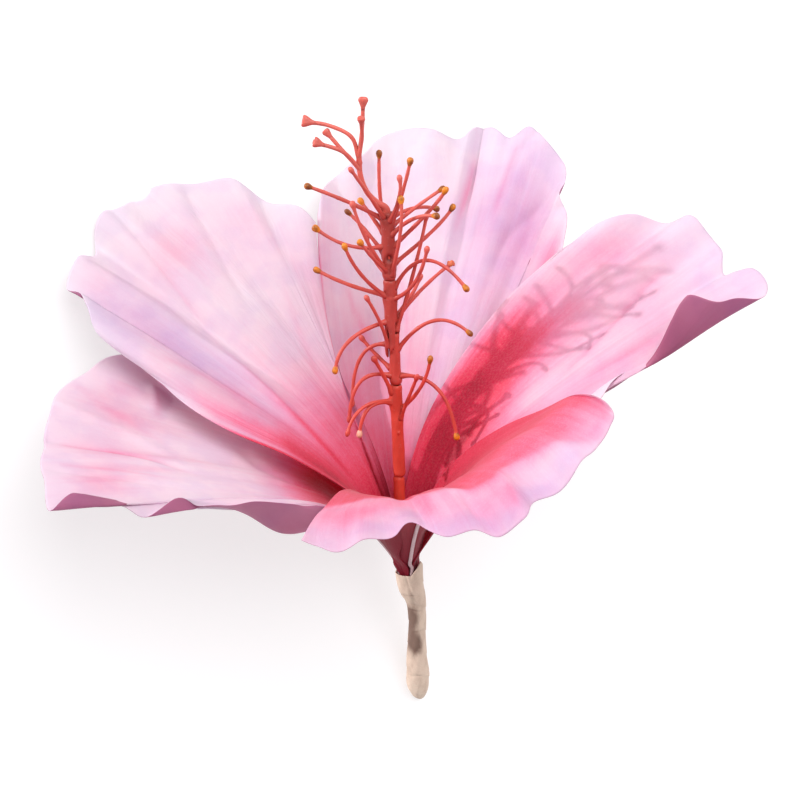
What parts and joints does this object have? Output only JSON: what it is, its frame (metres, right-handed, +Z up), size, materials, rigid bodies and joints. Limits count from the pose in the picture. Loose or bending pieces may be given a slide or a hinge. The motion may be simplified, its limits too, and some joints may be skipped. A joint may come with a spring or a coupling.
{
  "type": "artificial hibiscus flower",
  "caption": "Artificial hibiscus flower laid on its side: pink wired fabric petals, a moulded stamen column with a branched pistil, and a short stem wrapped in floral tape.",
  "frame": {"origin": "middle of the bounding box at the surface that the flower lies on", "axes": "+Z up, +X across the bloom and along its widest way, +Y towards the open face of the flower and the tip of its pistil, which the stamen column points along, -Y towards the end of the stem"},
  "size_m": [0.1776, 0.1456, 0.1077],
  "materials": {
    "petal_fabric": "dyed satin weave, crimson in the throat to near-white pink at the rim",
    "column_plastic": "moulded coral-red plastic, painted ochre at the anthers",
    "covered_wire": "paper-wound wire",
    "floral_tape": "stretched crepe tape"
  },
  "bodies": {
    "root": {"petal_back": "petal_fabric", "petal_right": "petal_fabric", "petal_front": "petal_fabric", "petal_lower_left": "petal_fabric", "petal_upper_left": "petal_fabric", "wire_back": "covered_wire", "wire_right": "covered_wire", "wire_front": "covered_wire", "wire_lower_left": "covered_wire", "wire_upper_left": "covered_wire", "column_rod": "column_plastic", "stamens_low": "column_plastic", "stamens_ring": "column_plastic", "stamens_middle": "column_plastic", "stamens_top": "column_plastic", "pistil": "column_plastic", "stem_tape": "floral_tape"}
  },
  "joints": []
}
